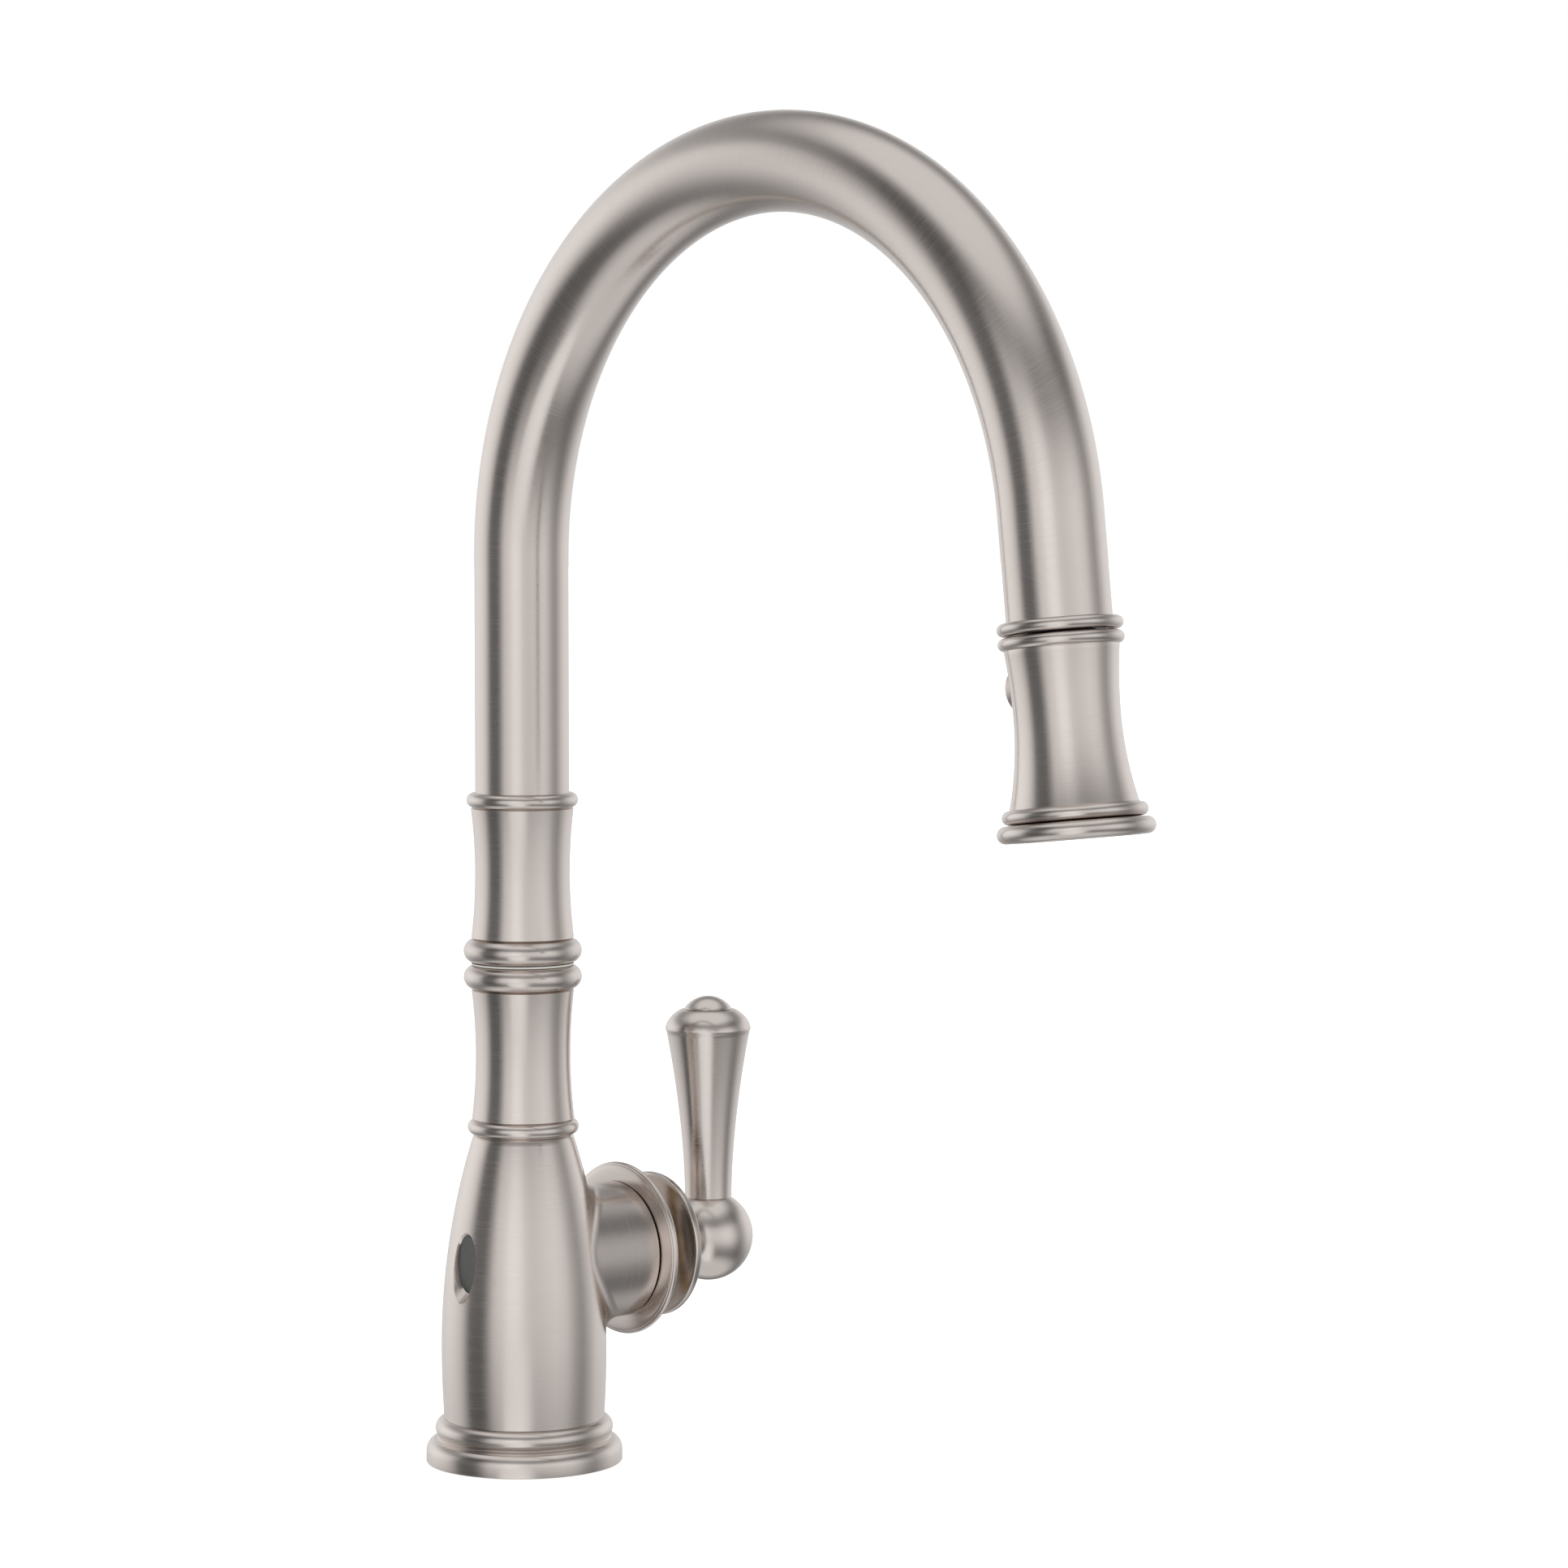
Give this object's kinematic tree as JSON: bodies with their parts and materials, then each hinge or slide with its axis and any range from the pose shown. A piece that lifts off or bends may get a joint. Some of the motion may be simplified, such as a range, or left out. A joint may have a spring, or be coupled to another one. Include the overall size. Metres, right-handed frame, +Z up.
{
  "type": "pull down kitchen faucet",
  "caption": "Satin nickel kitchen faucet with a swivelling gooseneck spout, a magnetically docked pull-down spray wand, a side lever and a touch-free sensor window.",
  "frame": {"origin": "centre of the base flange on the top of the deck", "axes": "+Z up out of the deck, spout towards -Y, lever towards +X, sensor towards -X"},
  "size_m": [0.1191, 0.286, 0.5158],
  "materials": {
    "nickel": "satin nickel plate with fine circular brushing",
    "brass": "machined brass",
    "steel": "plain stainless steel",
    "magnet": "nickel-plated ring magnet",
    "rubber": "black rubber",
    "nozzle_rubber": "dark grey silicone",
    "hose": "grey nylon braid over rubber",
    "acetal": "moulded acetal",
    "black_plastic": "moulded black plastic",
    "grey_plastic": "moulded dark grey plastic",
    "ceramic": "lapped alumina",
    "lens": "smoked polycarbonate window"
  },
  "bodies": {
    "body": {"deck_gasket": "rubber", "base_flange": "nickel", "body_shell": "nickel", "port_block": "brass", "port_o_rings": "rubber", "block_screws": "steel", "shank": "brass", "mounting_seal": "rubber", "mounting_washer": "steel", "mounting_nut": "brass", "hose_riser": "hose", "hose_coupling": "brass", "lower_column": "nickel", "swivel_spindle": "brass", "swivel_washer": "acetal", "spindle_o_ring": "rubber", "spindle_clip": "steel", "cartridge_seals": "rubber", "cartridge_housing": "acetal", "cartridge_cap": "acetal", "fixed_disc": "ceramic", "cartridge_nut": "brass", "bonnet": "nickel", "sensor_seal": "rubber", "sensor_lens": "lens", "sensor_module": "black_plastic"},
    "spout": {"upper_column": "nickel", "lower_bush": "acetal", "upper_bush": "acetal", "stop_pin": "steel", "spout_tube": "nickel", "dock_collar": "nickel", "dock_insert": "black_plastic", "dock_magnet": "magnet", "spout_hose": "hose"},
    "hose_end": {"hose_tail": "hose", "hose_connector": "steel", "connector_o_ring": "rubber"},
    "wand": {"wand_shell": "nickel", "keeper_ring": "steel", "wand_core": "black_plastic", "check_valve": "acetal", "spray_base": "black_plastic", "nozzle_mat": "nozzle_rubber", "spray_plate": "grey_plastic", "aerator": "grey_plastic", "face_ring": "nickel", "button_spring": "steel"},
    "button": {"spray_button": "nickel", "diverter_spool": "acetal"},
    "mixer": {"carrier": "acetal", "stem_pin": "steel"},
    "lever": {"stem": "brass", "handle_hub": "nickel", "lever_arm": "nickel", "lever_finial": "nickel", "lever_stud": "steel", "grub_screw": "steel"},
    "valve_disc": {"moving_disc": "ceramic"}
  },
  "joints": [
    {"name": "spout_swivel", "type": "hinge", "parent": "body", "child": "spout", "pos_m": [0, 0, 0.1528], "axis": [0, 0, 1], "range_deg": [-110, 110]},
    {"name": "wand_pull", "type": "slide", "parent": "spout", "child": "hose_end", "axis": [0, -0.1184, -0.993], "range_m": [0, 0.18]},
    {"name": "wand_spin", "type": "hinge", "parent": "hose_end", "child": "wand", "pos_m": [0, -0.22481, 0.29006], "axis": [0, -0.1184, -0.993], "continuous": true},
    {"name": "button_press", "type": "slide", "parent": "wand", "child": "button", "axis": [0, -0.993, 0.1184], "range_m": [0, 0.002], "stiffness_N_per_m": 1200, "springref_m": -0.001, "deforming": ["button_spring"]},
    {"name": "mixer_turn", "type": "hinge", "parent": "body", "child": "mixer", "pos_m": [0.029, 0, 0.0611], "axis": [1, 0, 0], "range_deg": [-45, 45]},
    {"name": "lever_tilt", "type": "hinge", "parent": "mixer", "child": "lever", "pos_m": [0.029, 0, 0.0611], "axis": [0, 1, 0], "range_deg": [0, 20]},
    {"name": "disc_slide", "type": "slide", "parent": "mixer", "child": "valve_disc", "axis": [0, 0, 1], "range_m": [0, 0.0025]}
  ],
  "couplings": [
    {"joint": "disc_slide", "follows": "lever_tilt", "m_per_rad": 0.0067}
  ]
}
